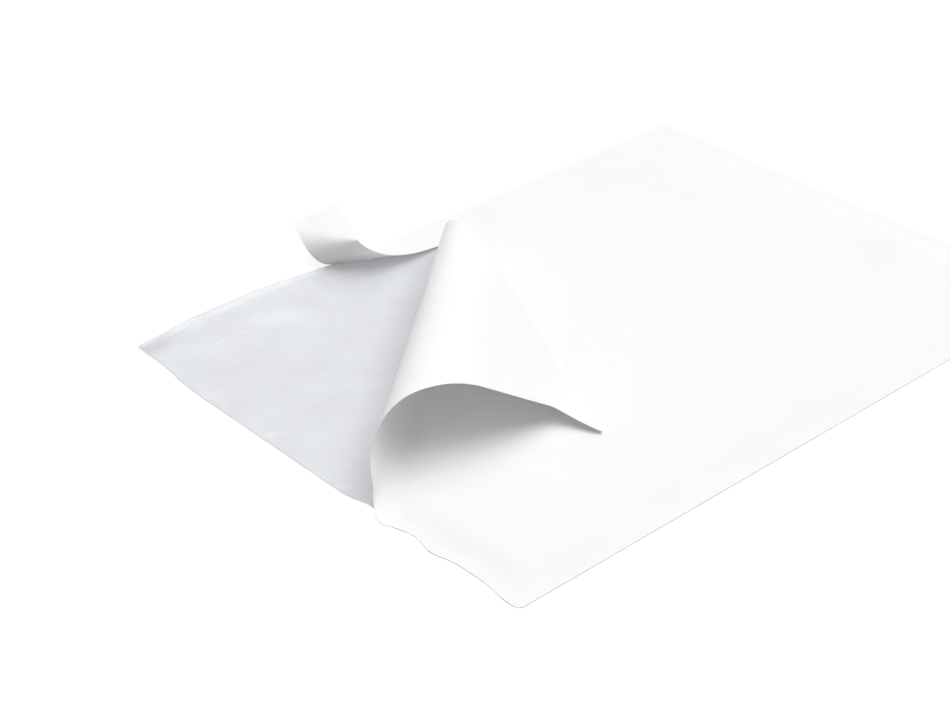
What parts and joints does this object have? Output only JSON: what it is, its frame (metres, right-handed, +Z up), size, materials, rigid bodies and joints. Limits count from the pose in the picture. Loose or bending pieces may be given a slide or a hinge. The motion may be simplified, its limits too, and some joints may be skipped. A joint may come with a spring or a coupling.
{
  "type": "packing list envelope",
  "caption": "Flat film pouch lying face down, its adhesive back covered by white release paper that is rolled back at one corner and curled into a finger tab along the filling slit.",
  "frame": {"origin": "middle of the pouch's underside, the outer face of the front film", "axes": "+X along the long edges to the right, +Y to the long edge beside the filling slit, +Z up out of the adhesive back"},
  "size_m": [0.32, 0.2649, 0.0322],
  "materials": {
    "clear_film": "clear glossy film",
    "milky_film": "slightly milky film with a glossy coat of adhesive",
    "release_paper": "smooth siliconed release paper"
  },
  "bodies": {
    "root": {"front_film": "clear_film", "back_film": "milky_film", "release_liner": "release_paper", "liner_strip": "release_paper"}
  },
  "joints": []
}
